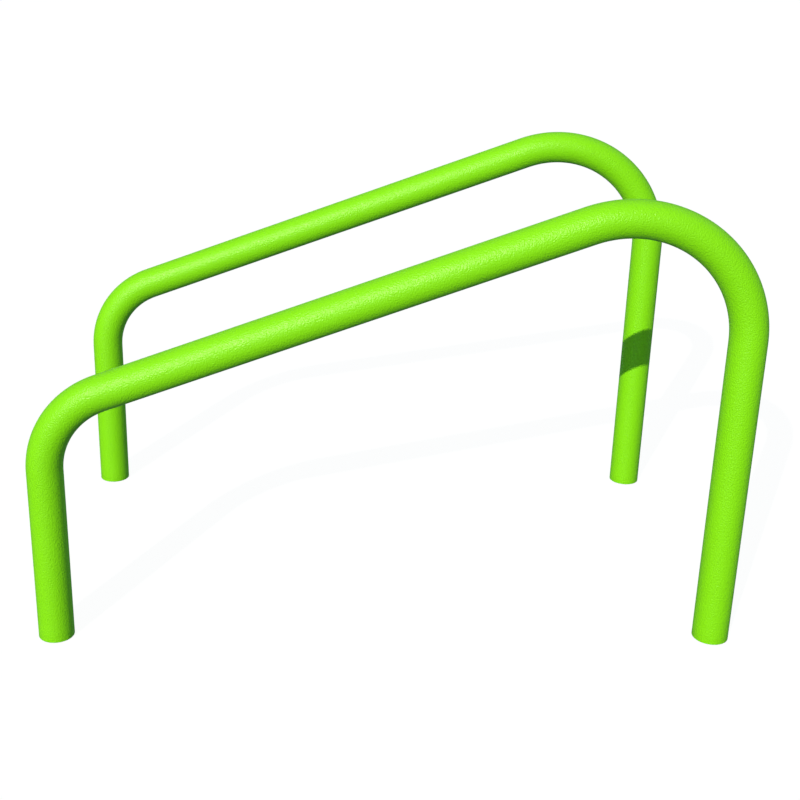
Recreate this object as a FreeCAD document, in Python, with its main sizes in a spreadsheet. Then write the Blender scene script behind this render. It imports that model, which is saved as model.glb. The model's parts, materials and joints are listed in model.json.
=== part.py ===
import FreeCAD, Part

import math
import os

import Sketcher
from FreeCAD import Vector

# A pair of sloping playground rails. Each rail is one steel tube, bent twice, that rises from a short
# low leg, climbs at a steady slope and turns down into a tall high leg. A steel plate closes every leg a
# little way up its bore, held by a fillet weld all round, so that ground water stays out of the tube.
#
# Row frame, millimetres: +X from the low end to the high end, +Y from the front rail to the rear rail,
# +Z up. The origin is on the ground, midway between the four feet.

# Driving dimensions: alias, value, what it is. Angles are in degrees.
SIZES = [
    ("tube_diameter", 60.3, "outside diameter of the rail tube"),
    ("tube_wall", 3.2, "wall of the rail tube"),
    ("leg_spacing", 1124.0, "low leg to high leg of one rail, axis to axis"),
    ("rail_spacing", 651.0, "front rail to rear rail, axis to axis"),
    ("rail_slope", 20.0, "climb of the straight rail above level"),
    ("low_leg_straight", 305.0, "straight part of the low leg, from the ground to the bend"),
    ("low_bend_radius", 145.0, "centreline radius of the low bend"),
    ("high_bend_radius", 198.0, "centreline radius of the high bend"),
    ("plate_gap", 0.25, "radial gap between an end plate and the tube's bore"),
    ("plate_recess", 5.0, "height of an end plate's underside above the foot"),
    ("plate_thickness", 5.0, "thickness of an end plate"),
    ("plate_chamfer", 1.0, "lead-in chamfer on an end plate's upper rim"),
    ("weld_leg", 4.0, "leg length of the fillet weld under an end plate"),
    ("weld_crown_radius", 5.5, "radius of the weld's rounded face"),
]

RAILS = [("front", -1), ("rear", 1)]
ENDS = [("low", -1), ("high", 1)]

# Number of the sketch geometry that stands for the origin and the axes
ORIGIN = (-1, 1)
X_AXIS = -1
START, END, CENTRE = 1, 2, 3

EDGE_TOLERANCE = 1e-6


def make_sizes(doc):
    """The spreadsheet of driving dimensions."""
    sheet = doc.addObject("Spreadsheet::Sheet", "Sizes")
    for row, (alias, value, meaning) in enumerate(SIZES, start=1):
        sheet.set(f"A{row}", alias)
        sheet.set(f"B{row}", str(value))
        sheet.set(f"C{row}", meaning)
        sheet.setAlias(f"B{row}", alias)
    doc.recompute()
    return sheet


def make_body(doc, label):
    body = doc.addObject("PartDesign::Body", label)
    body.Label = label
    return body


def make_sketch(body, name, role):
    """A sketch on one of the body's own origin planes."""
    sketch = body.newObject("Sketcher::SketchObject", name)
    plane = next(o for o in body.Origin.OriginFeatures if o.Role == role)
    sketch.AttachmentSupport = [(plane, "")]
    sketch.MapMode = "FlatFace"
    return sketch


def constrain(sketch, *rules):
    for rule in rules:
        sketch.addConstraint(Sketcher.Constraint(*rule))


def bind(sketch, name, expression, *rule):
    """Adds a dimension to the sketch and ties it to the spreadsheet."""
    index = sketch.addConstraint(Sketcher.Constraint(*rule))
    sketch.renameConstraint(index, name)
    sketch.setExpression(f"Constraints.{name}", expression)


def draw_bend_line(body, size):
    """The tube's centreline, in the upright plane of the rail: leg, bend, sloping rail, bend, leg."""
    sketch = make_sketch(body, "bend_line_" + body.Label, "XZ_Plane")
    slope = math.radians(size.rail_slope)
    low_x, high_x = -size.leg_spacing / 2, size.leg_spacing / 2
    low_r, high_r = size.low_bend_radius, size.high_bend_radius
    low_turn = Vector(low_x + low_r, size.low_leg_straight, 0)
    across = Vector(-math.sin(slope), math.cos(slope), 0)
    rail_start = low_turn + across * low_r
    climb = high_x - high_r * (1 + math.sin(slope)) - rail_start.x
    rail_end = rail_start + Vector(climb, climb * math.tan(slope), 0)
    high_turn = rail_end - across * high_r
    up = Vector(0, 0, 1)

    low_leg = sketch.addGeometry(
        Part.LineSegment(Vector(low_x, 0, 0), Vector(low_x, low_turn.y, 0))
    )
    low_bend = sketch.addGeometry(
        Part.ArcOfCircle(Part.Circle(low_turn, up, low_r), math.pi / 2 + slope, math.pi)
    )
    rail = sketch.addGeometry(Part.LineSegment(rail_start, rail_end))
    high_bend = sketch.addGeometry(
        Part.ArcOfCircle(Part.Circle(high_turn, up, high_r), 0, math.pi / 2 + slope)
    )
    high_leg = sketch.addGeometry(
        Part.LineSegment(Vector(high_x, high_turn.y, 0), Vector(high_x, 0, 0))
    )
    constrain(
        sketch,
        ("Tangent", low_leg, END, low_bend, END),
        ("Tangent", low_bend, START, rail, START),
        ("Tangent", rail, END, high_bend, END),
        ("Tangent", high_bend, START, high_leg, START),
        ("Vertical", low_leg),
        ("Vertical", high_leg),
        ("PointOnObject", low_leg, START, X_AXIS),
        ("Symmetric", low_leg, START, high_leg, END, *ORIGIN),
    )
    bind(
        sketch, "leg_spacing", "Sizes.leg_spacing",
        "DistanceX", low_leg, START, high_leg, END, size.leg_spacing,
    )
    bind(
        sketch, "low_leg_straight", "Sizes.low_leg_straight",
        "DistanceY", low_leg, START, low_leg, END, size.low_leg_straight,
    )
    bind(sketch, "low_bend_radius", "Sizes.low_bend_radius", "Radius", low_bend, low_r)
    bind(sketch, "high_bend_radius", "Sizes.high_bend_radius", "Radius", high_bend, high_r)
    bind(sketch, "rail_slope", "Sizes.rail_slope * 1 deg", "Angle", rail, slope)
    return sketch


def draw_tube_section(body, size):
    """The tube's wall, seen from above at the foot of the low leg."""
    sketch = make_sketch(body, "tube_section_" + body.Label, "XY_Plane")
    centre = Vector(-size.leg_spacing / 2, 0, 0)
    bore_diameter = size.tube_diameter - 2 * size.tube_wall
    outside = sketch.addGeometry(Part.Circle(centre, Vector(0, 0, 1), size.tube_diameter / 2))
    bore = sketch.addGeometry(Part.Circle(centre, Vector(0, 0, 1), bore_diameter / 2))
    constrain(
        sketch,
        ("Coincident", outside, CENTRE, bore, CENTRE),
        ("PointOnObject", outside, CENTRE, X_AXIS),
    )
    bind(
        sketch, "foot_offset", "Sizes.leg_spacing / 2",
        "DistanceX", outside, CENTRE, *ORIGIN, size.leg_spacing / 2,
    )
    bind(
        sketch, "tube_diameter", "Sizes.tube_diameter",
        "Diameter", outside, size.tube_diameter,
    )
    bind(
        sketch, "bore_diameter", "Sizes.tube_diameter - 2 * Sizes.tube_wall",
        "Diameter", bore, bore_diameter,
    )
    return sketch


def make_rail_tube(doc, size, rail, side):
    """One bent tube: its section swept along its bend line."""
    body = make_body(doc, f"{rail}_rail_tube")
    bend_line = draw_bend_line(body, size)
    section = draw_tube_section(body, size)
    doc.recompute()
    tube = body.newObject("PartDesign::AdditivePipe", "bent_tube_" + body.Label)
    tube.Profile = (section, [""])
    runs = [f"Edge{i + 1}" for i in range(len(bend_line.Shape.Edges))]
    tube.Spine = (bend_line, runs)
    section.Visibility = bend_line.Visibility = False
    body.setExpression("Placement.Base.y", f"{side} * Sizes.rail_spacing / 2")
    return body


def place_at_foot(body, side, end):
    """Puts a body drawn about its own Z axis on the axis of one leg, with its origin on the ground."""
    body.setExpression("Placement.Base.x", f"{end} * Sizes.leg_spacing / 2")
    body.setExpression("Placement.Base.y", f"{side} * Sizes.rail_spacing / 2")


def rim_edges(shape, diameter, height):
    """Names of the circular edges of that diameter at that height."""
    return [
        f"Edge{i + 1}"
        for i, edge in enumerate(shape.Edges)
        if isinstance(edge.Curve, Part.Circle)
        and abs(2 * edge.Curve.Radius - diameter) < EDGE_TOLERANCE
        and abs(edge.Curve.Center.z - height) < EDGE_TOLERANCE
    ]


def make_end_plate(doc, size, rail, side, end_name, end):
    """The disc that closes a leg's bore, with a chamfered upper rim so that it starts into the tube."""
    body = make_body(doc, f"{rail}_{end_name}_end_plate")
    sketch = make_sketch(body, "plate_outline_" + body.Label, "XY_Plane")
    diameter = size.tube_diameter - 2 * (size.tube_wall + size.plate_gap)
    rim = sketch.addGeometry(Part.Circle(Vector(), Vector(0, 0, 1), diameter / 2))
    constrain(sketch, ("Coincident", rim, CENTRE, *ORIGIN))
    bind(
        sketch, "plate_diameter",
        "Sizes.tube_diameter - 2 * (Sizes.tube_wall + Sizes.plate_gap)",
        "Diameter", rim, diameter,
    )
    sketch.setExpression("AttachmentOffset.Base.z", "Sizes.plate_recess")
    disc = body.newObject("PartDesign::Pad", "disc_" + body.Label)
    disc.Profile = sketch
    disc.setExpression("Length", "Sizes.plate_thickness")
    sketch.Visibility = False
    doc.recompute()
    lead_in = body.newObject("PartDesign::Chamfer", "lead_in_" + body.Label)
    upper_face = size.plate_recess + size.plate_thickness
    lead_in.Base = (disc, rim_edges(disc.Shape, diameter, upper_face))
    lead_in.setExpression("Size", "Sizes.plate_chamfer")
    place_at_foot(body, side, end)
    return body


def make_end_weld(doc, size, rail, side, end_name, end):
    """The fillet weld in the corner between an end plate's underside and the leg's bore, all round."""
    body = make_body(doc, f"{rail}_{end_name}_end_weld")
    sketch = make_sketch(body, "weld_section_" + body.Label, "XZ_Plane")
    bore_radius = size.tube_diameter / 2 - size.tube_wall
    leg, crown = size.weld_leg, size.weld_crown_radius
    corner = Vector(bore_radius, size.plate_recess, 0)
    on_plate = corner - Vector(leg, 0, 0)
    on_bore = corner - Vector(0, leg, 0)
    # The crown bulges away from the corner, so its centre lies on the corner's side of the chord.
    chord = (on_bore - on_plate).Length
    towards_corner = Vector(1, 1, 0).normalize()
    centre = (on_plate + on_bore) / 2 + towards_corner * math.sqrt(crown**2 - (chord / 2) ** 2)
    start = math.atan2(on_plate.y - centre.y, on_plate.x - centre.x)
    stop = math.atan2(on_bore.y - centre.y, on_bore.x - centre.x)

    along_plate = sketch.addGeometry(Part.LineSegment(corner, on_plate))
    face = sketch.addGeometry(
        Part.ArcOfCircle(Part.Circle(centre, Vector(0, 0, 1), crown), start, stop)
    )
    up_bore = sketch.addGeometry(Part.LineSegment(on_bore, corner))
    constrain(
        sketch,
        ("Coincident", along_plate, END, face, START),
        ("Coincident", face, END, up_bore, START),
        ("Coincident", up_bore, END, along_plate, START),
        ("Horizontal", along_plate),
        ("Vertical", up_bore),
        ("Equal", along_plate, up_bore),
    )
    bind(
        sketch, "bore_radius", "Sizes.tube_diameter / 2 - Sizes.tube_wall",
        "DistanceX", *ORIGIN, along_plate, START, bore_radius,
    )
    bind(
        sketch, "plate_recess", "Sizes.plate_recess",
        "DistanceY", *ORIGIN, along_plate, START, size.plate_recess,
    )
    bind(sketch, "weld_leg", "Sizes.weld_leg", "DistanceY", up_bore, START, up_bore, END, leg)
    bind(sketch, "crown_radius", "Sizes.weld_crown_radius", "Radius", face, crown)
    bead = body.newObject("PartDesign::Revolution", "bead_" + body.Label)
    bead.Profile = sketch
    bead.ReferenceAxis = (sketch, ["V_Axis"])
    bead.Angle = 360
    sketch.Visibility = False
    place_at_foot(body, side, end)
    return body


def check(doc, bodies):
    """Stops before anything is written if a feature failed or a shape isn't one sound solid."""
    for item in doc.Objects:
        if "Invalid" in item.State or "Error" in item.State:
            raise RuntimeError(f"{item.Label} is {item.State}")
        if item.TypeId == "Sketcher::SketchObject" and not item.FullyConstrained:
            raise RuntimeError(f"{item.Label} is not fully constrained")
    for body in bodies:
        shape = body.Shape
        if shape.isNull() or not shape.isValid() or len(shape.Solids) != 1:
            raise RuntimeError(f"{body.Label} is not one valid solid")


def main():
    doc = FreeCAD.newDocument("SlopingRails")
    size = make_sizes(doc)
    bodies = []
    for rail, side in RAILS:
        bodies.append(make_rail_tube(doc, size, rail, side))
        for end_name, end in ENDS:
            bodies.append(make_end_plate(doc, size, rail, side, end_name, end))
            bodies.append(make_end_weld(doc, size, rail, side, end_name, end))
    doc.recompute()
    check(doc, bodies)
    os.makedirs("parts", exist_ok=True)
    for body in bodies:
        body.Shape.exportStep(f"parts/{body.Label}.step")
        box = body.Shape.optimalBoundingBox(False, False)
        print(
            f"{body.Label}: {box.XLength:.1f} x {box.YLength:.1f} x {box.ZLength:.1f} mm,"
            f" z {box.ZMin:.2f} to {box.ZMax:.2f}, volume {body.Shape.Volume:.0f} mm3"
        )


main()
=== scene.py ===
import json
import math

import bpy
from mathutils import Matrix, Vector


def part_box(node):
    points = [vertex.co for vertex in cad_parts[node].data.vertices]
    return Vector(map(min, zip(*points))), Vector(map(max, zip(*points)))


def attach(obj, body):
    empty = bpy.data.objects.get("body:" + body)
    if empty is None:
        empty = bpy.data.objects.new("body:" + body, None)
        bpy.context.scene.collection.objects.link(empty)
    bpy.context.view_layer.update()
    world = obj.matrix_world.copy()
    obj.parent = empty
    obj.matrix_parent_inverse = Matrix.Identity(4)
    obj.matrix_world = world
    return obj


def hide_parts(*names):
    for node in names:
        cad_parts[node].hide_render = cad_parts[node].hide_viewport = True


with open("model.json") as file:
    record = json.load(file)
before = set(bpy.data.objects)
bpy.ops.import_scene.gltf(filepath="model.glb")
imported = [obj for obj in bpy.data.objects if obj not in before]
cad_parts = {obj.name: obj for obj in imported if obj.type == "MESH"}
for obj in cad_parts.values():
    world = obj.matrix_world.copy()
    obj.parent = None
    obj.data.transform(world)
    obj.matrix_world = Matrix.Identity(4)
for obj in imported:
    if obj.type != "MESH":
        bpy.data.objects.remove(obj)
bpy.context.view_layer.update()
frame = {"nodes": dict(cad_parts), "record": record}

# Inclined parallel bars: two lime green bent tubes, each with a low leg and a high leg, on a pale floor.
# Everything is in metres in the part's own frame: +X to the high end, +Y from the front rail to the rear
# rail, +Z up, and the ground at z = 0. Noise scales are in waves per metre.

MM = 0.001
MOUNTS = {mount["name"]: mount for mount in frame["record"]["mounts"]}
RAILS = ("front", "rear")
ENDS = ("low", "high")

# The bent tube. The legs' lengths and places come from the frame's mounts, the rest is stated here.
SLOPE = math.radians(20)
LOW_BEND_RADIUS = 0.145
TUBE_WALL = 3.2 * MM
RIM_OUTER_ROUND = 1.0 * MM
RIM_INNER_ROUND = 0.6 * MM
RIM_STEPS = 5
AROUND = 96
STRAIGHT_STEP = 0.02
BEND_STEP = math.radians(2)

# The fillet weld under each end plate, laid as a row of overlapping ripples
WELD_LEG = 4.0 * MM
WELD_CROWN = 0.55 * MM
WELD_RIPPLES = 44
WELD_STEPS_PER_RIPPLE = 8
WELD_RIPPLE_HEIGHT = 0.16 * MM
WELD_SKEW = 0.35
WELD_AROUND = WELD_RIPPLES * WELD_STEPS_PER_RIPPLE
WELD_ACROSS = 10

# The lime powder coat: a fine leather grain in soft waves, with painted shade that makes each hollow of
# the grain a little darker, over broad patches of a slightly fresher green
GRAIN_PER_METRE = 430.0
GRAIN_HEIGHT = 0.80 * MM
HOLLOW_SHADE_SHARE = 0.15
PATCHES_PER_METRE = 9.0
LIME = (0.272, 0.796, 0.0020, 1)
# Painted shade: the darker green painted into each hollow of the grain
LIME_HOLLOW_SHADE = (0.260, 0.775, 0.0018, 1)
LIME_FRESH = (0.278, 0.808, 0.0026, 1)
SHEEN_PER_METRE = 40.0
LIME_ROUGHNESS = (0.40, 0.45)
LIME_SPECULAR = 0.48
LIME_SPECULAR_TINT = (1.0, 1.0, 0.8, 1)

# The tube's bare inside: mill scale with a little rust
RUST_PER_METRE = 60.0
MILL_SCALE = (0.10, 0.10, 0.11, 1)
RUST = (0.19, 0.085, 0.04, 1)
BORE_ROUGHNESS = (0.5, 0.85)
BORE_GRAIN_PER_METRE = 900.0
BORE_GRAIN_HEIGHT = 0.2 * MM
BORE_METALLIC = 0.6

# The end plates under zinc primer, patchy from the spray gun
PRIMER_CLOUDS_PER_METRE = 85.0
PRIMER_THIN = (0.34, 0.35, 0.36, 1)
PRIMER_THICK = (0.46, 0.47, 0.48, 1)
PRIMER_ROUGHNESS = (0.62, 0.48)
PRIMER_GRAIN_PER_METRE = 1400.0
PRIMER_GRAIN_HEIGHT = 0.12 * MM
PRIMER_METALLIC = 0.35

# The weld metal, browned by its own heat
HEAT_PER_METRE = 120.0
WELD_BRIGHT = (0.30, 0.30, 0.31, 1)
WELD_BROWN = (0.20, 0.17, 0.15, 1)
WELD_ROUGHNESS = (0.36, 0.55)
WELD_GRAIN_PER_METRE = 1800.0
WELD_GRAIN_HEIGHT = 0.15 * MM
WELD_METALLIC = 0.8

# The floor is nearly as bright in shadow as in light: most of its white is its own
FLOOR_SIZE = 120.0
FLOOR_COLOUR = (0.07, 0.07, 0.07, 1)
FLOOR_GLOW = 0.958

# Each light comes from a direction: its turn from the front towards +X, and its height above the ground
KEY_FROM = (math.radians(-26), math.radians(29.5))
KEY_STRENGTH = 3.05
KEY_COLOUR = (1.0, 0.99, 0.82)
KEY_ANGLE = math.radians(0.4)
FRONT_FROM = (math.radians(-20), math.radians(8))
FRONT_STRENGTH = 0.34
SIDE_FROM = (math.radians(130), math.radians(36))
SIDE_STRENGTH = 0.36
BACK_FROM = (math.radians(-165), math.radians(5))
BACK_STRENGTH = 0.8
SOFT_ANGLE = math.radians(50)
SOFT_COLOUR = (0.65, 0.98, 1.15)
AMBIENT_BELOW = 0.10
AMBIENT_ABOVE = 0.25

# The camera stands in front of the rails' middle and looks down on them. Its angles are in radians.
CAMERA_PLACE = Vector((-0.1202, -2.1916, 1.1462))
CAMERA_TURN = 0.0168
CAMERA_TILT_DOWN = 0.3534
CAMERA_ROLL = -0.0121
CAMERA_LENS = 56.17
CAMERA_SHIFT = (0.08, -0.0188)


# ---------------------------------------------------------------- shapes

def make_object(name, vertices, faces, materials, material_of_face=None):
    """A smooth shaded mesh object in the part's frame. Its faces run anticlockwise seen from outside."""
    mesh = bpy.data.meshes.new(name)
    mesh.from_pydata(vertices, [], faces)
    for material in materials:
        mesh.materials.append(material)
    if material_of_face is not None:
        mesh.polygons.foreach_set("material_index", material_of_face)
    mesh.polygons.foreach_set("use_smooth", [True] * len(faces))
    mesh.validate()
    mesh.update()
    piece = bpy.data.objects.new(name, mesh)
    bpy.context.scene.collection.objects.link(piece)
    return piece


def bend_line(rail):
    """Stations along a rail's centreline: (x, z, direction angle above +X), from foot to foot."""
    low, high = MOUNTS[f"{rail}_low_leg"], MOUNTS[f"{rail}_high_leg"]
    low_x, high_x = low["pos_m"][0], high["pos_m"][0]
    low_top = low["dims"]["length_mm"] * MM
    high_top = high["dims"]["length_mm"] * MM
    tube_radius = low["dims"]["r_mm"] * MM
    high_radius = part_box(f"{rail}_rail_tube")[1].z - tube_radius - high_top
    upwards, downwards = math.pi / 2, -math.pi / 2

    def straight(x0, z0, x1, z1, angle):
        """A straight run, without its last point."""
        count = round(math.hypot(x1 - x0, z1 - z0) / STRAIGHT_STEP)
        return [
            (x0 + (x1 - x0) * i / count, z0 + (z1 - z0) * i / count, angle) for i in range(count)
        ]

    def bend(centre_x, centre_z, radius, start, stop):
        """An arc that turns clockwise from one direction angle to the next, without its last point."""
        count = round((start - stop) / BEND_STEP)
        angles = [start + (stop - start) * i / count for i in range(count)]
        return [
            (centre_x - radius * math.sin(a), centre_z + radius * math.cos(a), a) for a in angles
        ]

    low_centre = (low_x + LOW_BEND_RADIUS, low_top)
    high_centre = (high_x - high_radius, high_top)
    rail_start = (
        low_centre[0] - LOW_BEND_RADIUS * math.sin(SLOPE),
        low_centre[1] + LOW_BEND_RADIUS * math.cos(SLOPE),
    )
    rail_end = (
        high_centre[0] - high_radius * math.sin(SLOPE),
        high_centre[1] + high_radius * math.cos(SLOPE),
    )
    return (
        straight(low_x, 0, low_x, low_top, upwards)
        + bend(*low_centre, LOW_BEND_RADIUS, upwards, SLOPE)
        + straight(*rail_start, *rail_end, SLOPE)
        + bend(*high_centre, high_radius, SLOPE, downwards)
        + straight(high_x, high_top, high_x, 0, downwards)
        + [(high_x, 0, downwards)]
    )


def rim_profile(outer, inner):
    """(radius, height above the foot) from the outside wall, round the sawn rim, into the bore."""
    angles = [math.pi / 2 * i / RIM_STEPS for i in range(RIM_STEPS + 1)]
    outside = [
        (outer - RIM_OUTER_ROUND * (1 - math.cos(a)), RIM_OUTER_ROUND * (1 - math.sin(a)))
        for a in angles
    ]
    inside = [
        (inner + RIM_INNER_ROUND * (1 - math.sin(a)), RIM_INNER_ROUND * (1 - math.cos(a)))
        for a in angles
    ]
    return outside + inside


def make_rail_tube(rail, coating, bore_steel):
    """The bent tube as one closed wall: outside, both rims and the bore."""
    leg = MOUNTS[f"{rail}_low_leg"]
    y = leg["pos_m"][1]
    outer = leg["dims"]["r_mm"] * MM
    inner = outer - TUBE_WALL
    stations = bend_line(rail)
    vertices, faces, material_of_face = [], [], []
    rings = []

    def add_ring(station, radius, height=0.0):
        """A ring of points round a station, moved along its direction by a height."""
        x, z, angle = station
        along = Vector((math.cos(angle), 0, math.sin(angle)))
        across = Vector((-math.sin(angle), 0, math.cos(angle)))
        centre = Vector((x, y, z)) + along * height
        rings.append(len(vertices))
        for i in range(AROUND):
            turn = 2 * math.pi * i / AROUND
            vertices.append(
                centre + radius * (across * math.cos(turn) + Vector((0, math.sin(turn), 0)))
            )

    rim = rim_profile(outer, inner)
    for radius, height in reversed(rim):
        add_ring(stations[0], radius, height)
    for station in stations[1:-1]:
        add_ring(station, outer)
    for radius, height in rim:
        add_ring(stations[-1], radius, -height)
    coated_rings = len(rings)
    for station in reversed(stations[1:-1]):
        add_ring(station, inner)

    for k, lower in enumerate(rings):
        upper = rings[(k + 1) % len(rings)]
        for i in range(AROUND):
            j = (i + 1) % AROUND
            faces.append((lower + i, upper + i, upper + j, lower + j))
            material_of_face.append(0 if k < coated_rings - 1 else 1)
    piece = make_object(f"{rail}_bent_tube", vertices, faces, [coating, bore_steel], material_of_face)
    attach(piece, "root")
    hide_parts(f"{rail}_rail_tube")


def make_weld_bead(rail, end, weld_metal):
    """A fillet weld round the bore under an end plate, with the ripples that the torch leaves."""
    node = f"{rail}_{end}_end_weld"
    low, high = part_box(node)
    centre = (low + high) / 2
    bore = (high.x - low.x) / 2
    top = high.z
    vertices, faces = [], []
    for i in range(WELD_AROUND):
        turn = 2 * math.pi * i / WELD_AROUND
        corner = (bore, top)
        ring = [corner]
        for k in range(WELD_ACROSS + 1):
            # t runs over the bead's face, from the plate to the bore.
            t = k / WELD_ACROSS
            # Each ripple trails behind in the middle of the bead, as the molten pool freezes.
            bow = math.sin(math.pi * t)
            phase = (WELD_RIPPLES * i / WELD_AROUND + WELD_SKEW * bow) % 1.0
            ripple = WELD_RIPPLE_HEIGHT * (math.sqrt(1 - phase) - 0.5)
            rise = (WELD_CROWN + ripple) * bow
            ring.append(
                (
                    bore - WELD_LEG * (1 - t) - rise / math.sqrt(2),
                    top - WELD_LEG * t - rise / math.sqrt(2),
                )
            )
        for radius, z in ring:
            vertices.append(
                (centre.x + radius * math.cos(turn), centre.y + radius * math.sin(turn), z)
            )
    size = WELD_ACROSS + 2
    for i in range(WELD_AROUND):
        here, beyond = i * size, ((i + 1) % WELD_AROUND) * size
        for k in range(size):
            m = (k + 1) % size
            faces.append((here + k, beyond + k, beyond + m, here + m))
    piece = make_object(f"{node}_bead", vertices, faces, [weld_metal])
    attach(piece, "root")
    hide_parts(node)


# ---------------------------------------------------------------- materials

class Nodes:
    """Adds shader nodes to one material and links them."""

    def __init__(self, name):
        self.material = bpy.data.materials.new(name)
        self.material.use_nodes = True
        self.tree = self.material.node_tree
        self.shader = self.tree.nodes["Principled BSDF"]
        self.place = self.add("ShaderNodeTexCoord").outputs["Object"]

    def add(self, kind, settings=None, **inputs):
        """A node with its settings, and its inputs set or linked. An input's name has _ for a space."""
        node = self.tree.nodes.new(kind)
        for key, value in (settings or {}).items():
            setattr(node, key, value)
        for key, value in inputs.items():
            self.feed(node.inputs[key.replace("_", " ")], value)
        return node

    def feed(self, socket, value):
        """Links a socket to another node's output, or sets it to a plain value."""
        if isinstance(value, bpy.types.NodeSocket):
            self.tree.links.new(value, socket)
        else:
            socket.default_value = value

    def noise(self, per_metre, detail=2.0, roughness=0.5):
        return self.add(
            "ShaderNodeTexNoise", Vector=self.place, Scale=per_metre, Detail=detail, Roughness=roughness
        ).outputs["Fac"]

    def span(self, value, source, target=(0.0, 1.0)):
        """Maps the source range of a value smoothly to the target range."""
        return self.add(
            "ShaderNodeMapRange",
            {"interpolation_type": "SMOOTHSTEP"},
            Value=value,
            From_Min=source[0],
            From_Max=source[1],
            To_Min=target[0],
            To_Max=target[1],
        ).outputs["Result"]

    def mix(self, factor, a, b):
        """A colour between a, where the factor is 0, and b, where it is 1."""
        node = self.add("ShaderNodeMix", {"data_type": "RGBA"})
        self.feed(node.inputs["Factor"], factor)
        self.feed(node.inputs["A"], a)
        self.feed(node.inputs["B"], b)
        return node.outputs["Result"]

    def finish(self, colour, roughness, height, distance):
        """Feeds the shader its colour, its roughness and a bump, and returns the material."""
        bump = self.add("ShaderNodeBump", Height=height, Distance=distance)
        self.feed(self.shader.inputs["Base Color"], colour)
        self.feed(self.shader.inputs["Roughness"], roughness)
        self.feed(self.shader.inputs["Normal"], bump.outputs["Normal"])
        return self.material


def lime_coating():
    """Lime green powder coat with a fine leather grain, and painted shade in each hollow of the grain.
    """
    n = Nodes("lime_powder_coat")
    grain = n.noise(GRAIN_PER_METRE, detail=0.0)
    # Painted shade: where the grain dips, the coat's colour is mixed towards a darker green
    hollow_shade = n.span(grain, (0.3, 0.6), (HOLLOW_SHADE_SHARE, 0.0))
    patches = n.mix(n.span(n.noise(PATCHES_PER_METRE, detail=3.0), (0.35, 0.65)), LIME, LIME_FRESH)
    roughness = n.span(n.noise(SHEEN_PER_METRE, detail=3.0), (0.3, 0.7), LIME_ROUGHNESS)
    n.shader.inputs["Specular IOR Level"].default_value = LIME_SPECULAR
    n.shader.inputs["Specular Tint"].default_value = LIME_SPECULAR_TINT
    return n.finish(n.mix(hollow_shade, patches, LIME_HOLLOW_SHADE), roughness, grain, GRAIN_HEIGHT)


def bore_steel():
    """Bare inside of the tube: dark mill scale with a little rust."""
    n = Nodes("bore_mill_scale")
    rust = n.span(n.noise(RUST_PER_METRE, detail=5.0, roughness=0.65), (0.5, 0.72))
    roughness = n.span(rust, (0.0, 1.0), BORE_ROUGHNESS)
    grain = n.noise(BORE_GRAIN_PER_METRE, detail=4.0)
    n.shader.inputs["Metallic"].default_value = BORE_METALLIC
    return n.finish(n.mix(rust, MILL_SCALE, RUST), roughness, grain, BORE_GRAIN_HEIGHT)


def primed_plate():
    """Cut steel plate under grey zinc primer, a little patchy from the spray gun."""
    n = Nodes("zinc_primed_plate")
    clouds = n.span(n.noise(PRIMER_CLOUDS_PER_METRE, detail=4.0, roughness=0.6), (0.35, 0.65))
    roughness = n.span(clouds, (0.0, 1.0), PRIMER_ROUGHNESS)
    grain = n.noise(PRIMER_GRAIN_PER_METRE, detail=4.0, roughness=0.6)
    n.shader.inputs["Metallic"].default_value = PRIMER_METALLIC
    return n.finish(n.mix(clouds, PRIMER_THIN, PRIMER_THICK), roughness, grain, PRIMER_GRAIN_HEIGHT)


def weld_metal():
    """Bright weld bead, browned in places by its own heat."""
    n = Nodes("weld_metal")
    heat = n.span(n.noise(HEAT_PER_METRE, detail=3.0, roughness=0.55), (0.35, 0.7))
    roughness = n.span(heat, (0.0, 1.0), WELD_ROUGHNESS)
    grain = n.noise(WELD_GRAIN_PER_METRE, detail=3.0)
    n.shader.inputs["Metallic"].default_value = WELD_METALLIC
    return n.finish(n.mix(heat, WELD_BRIGHT, WELD_BROWN), roughness, grain, WELD_GRAIN_HEIGHT)


# ---------------------------------------------------------------- floor, light and camera

def make_floor():
    """A pale floor that lights nothing, so that the undersides stay as dark as under open sky."""
    half = FLOOR_SIZE / 2
    corners = [(-half, -half, 0), (half, -half, 0), (half, half, 0), (-half, half, 0)]
    n = Nodes("pale_floor")
    shade = n.add("ShaderNodeBsdfDiffuse", Color=FLOOR_COLOUR)
    glow = n.add("ShaderNodeEmission", Strength=FLOOR_GLOW)
    both = n.add("ShaderNodeAddShader")
    n.feed(both.inputs[0], shade.outputs["BSDF"])
    n.feed(both.inputs[1], glow.outputs["Emission"])
    n.feed(n.tree.nodes["Material Output"].inputs["Surface"], both.outputs["Shader"])
    floor = make_object("floor", corners, [(0, 1, 2, 3)], [n.material])
    floor.visible_diffuse = False
    floor.visible_glossy = False


def make_sun(name, towards, strength, angle, colour):
    """A far light that shines from a direction. A wide angle makes it soft."""
    turn, height = towards
    light = bpy.data.lights.new(name, "SUN")
    light.energy, light.angle, light.color = strength, angle, colour
    lamp = bpy.data.objects.new(name, light)
    direction = Vector(
        (
            math.sin(turn) * math.cos(height),
            -math.cos(turn) * math.cos(height),
            math.sin(height),
        )
    )
    lamp.rotation_euler = direction.to_track_quat("Z", "Y").to_euler()
    bpy.context.scene.collection.objects.link(lamp)
    return lamp


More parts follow.
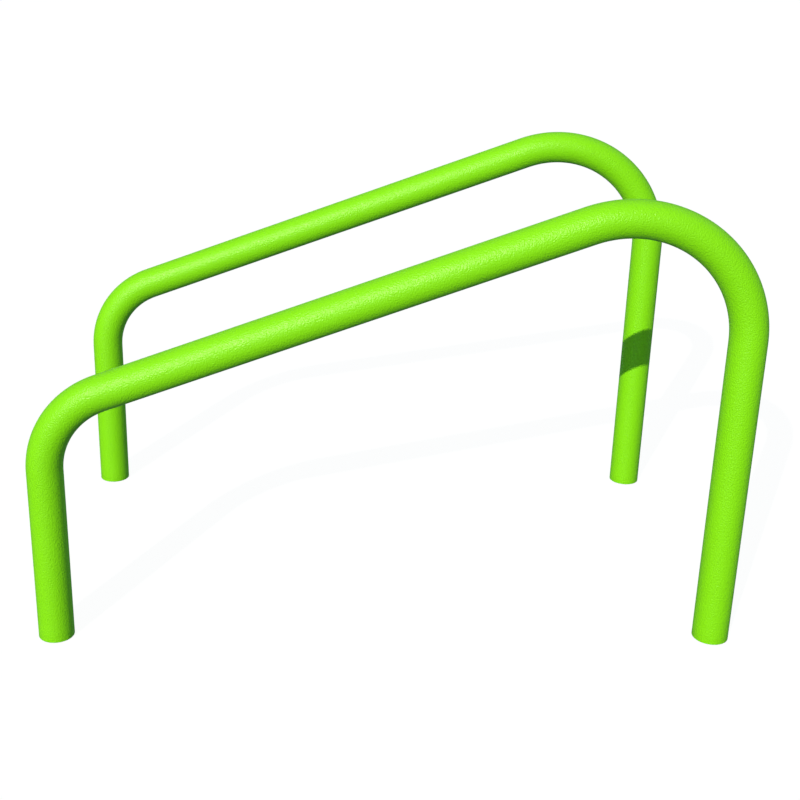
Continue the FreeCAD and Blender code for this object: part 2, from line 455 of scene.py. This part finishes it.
def make_world():
    """Cool soft light that grows from the ground to overhead; the camera itself sees plain white."""
    world = bpy.data.worlds.new("studio")
    world.use_nodes = True
    tree = world.node_tree
    ambient = tree.nodes["Background"]
    ambient.inputs["Color"].default_value = (*SOFT_COLOUR, 1)
    # The direction's Z is -1 straight down and 1 straight up.
    split = tree.nodes.new("ShaderNodeSeparateXYZ")
    tree.links.new(tree.nodes.new("ShaderNodeTexCoord").outputs["Generated"], split.inputs[0])
    rise = tree.nodes.new("ShaderNodeMapRange")
    rise.inputs["From Min"].default_value = -1
    rise.inputs["From Max"].default_value = 1
    rise.inputs["To Min"].default_value = AMBIENT_BELOW
    rise.inputs["To Max"].default_value = AMBIENT_ABOVE
    tree.links.new(split.outputs["Z"], rise.inputs["Value"])
    tree.links.new(rise.outputs["Result"], ambient.inputs["Strength"])
    backdrop = tree.nodes.new("ShaderNodeBackground")
    backdrop.inputs["Color"].default_value = (1, 1, 1, 1)
    path = tree.nodes.new("ShaderNodeLightPath")
    choose = tree.nodes.new("ShaderNodeMixShader")
    tree.links.new(path.outputs["Is Camera Ray"], choose.inputs[0])
    tree.links.new(ambient.outputs["Background"], choose.inputs[1])
    tree.links.new(backdrop.outputs["Background"], choose.inputs[2])
    tree.links.new(choose.outputs["Shader"], tree.nodes["World Output"].inputs["Surface"])
    bpy.context.scene.world = world


def make_camera():
    camera = bpy.data.objects.new("camera", bpy.data.cameras.new("camera"))
    camera.data.lens = CAMERA_LENS
    camera.data.shift_x, camera.data.shift_y = CAMERA_SHIFT
    camera.matrix_world = (
        Matrix.Translation(CAMERA_PLACE)
        @ Matrix.Rotation(-CAMERA_TURN, 4, "Z")
        @ Matrix.Rotation(math.pi / 2 - CAMERA_TILT_DOWN, 4, "X")
        @ Matrix.Rotation(-CAMERA_ROLL, 4, "Z")
    )
    bpy.context.scene.collection.objects.link(camera)
    bpy.context.scene.camera = camera


# ---------------------------------------------------------------- the scene

def main():
    make_camera()
    make_world()
    make_floor()
    make_sun("key", KEY_FROM, KEY_STRENGTH, KEY_ANGLE, KEY_COLOUR)
    # The fills light the coat evenly and leave the highlight to the key.
    for fill in (
        make_sun("front_fill", FRONT_FROM, FRONT_STRENGTH, SOFT_ANGLE, SOFT_COLOUR),
        make_sun("side_fill", SIDE_FROM, SIDE_STRENGTH, SOFT_ANGLE, SOFT_COLOUR),
        make_sun("back_fill", BACK_FROM, BACK_STRENGTH, SOFT_ANGLE, SOFT_COLOUR),
    ):
        fill.visible_glossy = False
    coating, bore, primer, weld = lime_coating(), bore_steel(), primed_plate(), weld_metal()
    for rail in RAILS:
        make_rail_tube(rail, coating, bore)
        for end in ENDS:
            make_weld_bead(rail, end, weld)
            frame["nodes"][f"{rail}_{end}_end_plate"].material_slots[0].material = primer
    bpy.context.scene.view_settings.view_transform = "Standard"


main()
